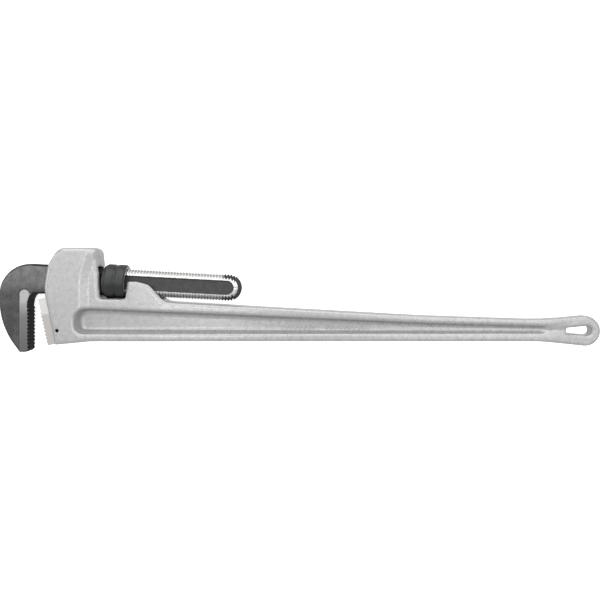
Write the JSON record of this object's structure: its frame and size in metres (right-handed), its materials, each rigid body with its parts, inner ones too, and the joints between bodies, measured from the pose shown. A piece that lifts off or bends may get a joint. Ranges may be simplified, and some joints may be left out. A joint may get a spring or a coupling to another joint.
{
  "type": "pipe wrench",
  "caption": "Long straight-pattern pipe wrench: aluminium I-section handle and housing, sliding toothed hook jaw on a threaded shank, adjusting nut and pinned toothed heel jaw.",
  "frame": {"origin": "axis of a pipe held in the jaws, at the wrench's mid-thickness", "axes": "+X along the handle away from the jaws, +Y from the handle towards the hook jaw's shank, +Z the pipe's axis and the wrench's thickness; the wrench lies on its side"},
  "size_m": [1.0712, 0.1857, 0.062],
  "materials": {
    "cast_aluminium": "sprayed silver-grey over a sand-cast skin, satin",
    "ground_steel": "bare ground steel, slightly warm",
    "spring_steel": "oiled spring steel",
    "black_forged_steel": "black forging scale, with bright ground flats beside the thread and the teeth",
    "black_nut_steel": "blackened, semi-matt"
  },
  "bodies": {
    "handle": {"handle": "cast_aluminium", "heel_jaw": "ground_steel", "heel_jaw_pin": "spring_steel", "coil_spring": "spring_steel", "spring_pin": "spring_steel"},
    "jaw_cradle": {"flat_spring": "spring_steel"},
    "adjusting_nut": {"adjusting_nut": "black_nut_steel"},
    "hook_jaw": {"hook_jaw": "black_forged_steel"}
  },
  "joints": [
    {"name": "jaw_rock", "type": "hinge", "parent": "handle", "child": "jaw_cradle", "pos_m": [0.141, 0.0726, 0], "axis": [0, 0, 1], "range_deg": [-1.5, 1.5], "stiffness_Nm_per_rad": 40, "deforming": ["flat_spring", "coil_spring"]},
    {"name": "nut_spin", "type": "hinge", "parent": "jaw_cradle", "child": "adjusting_nut", "pos_m": [0.141, 0.0726, 0], "axis": [0.9986, -0.0523, 0], "range_deg": [-720, 9666]},
    {"name": "jaw_slide", "type": "slide", "parent": "jaw_cradle", "child": "hook_jaw", "axis": [-0.9986, 0.0523, 0], "range_m": [-0.011, 0.145]}
  ],
  "couplings": [
    {"joint": "jaw_slide", "follows": "nut_spin", "m_per_rad": 0.00085944}
  ]
}
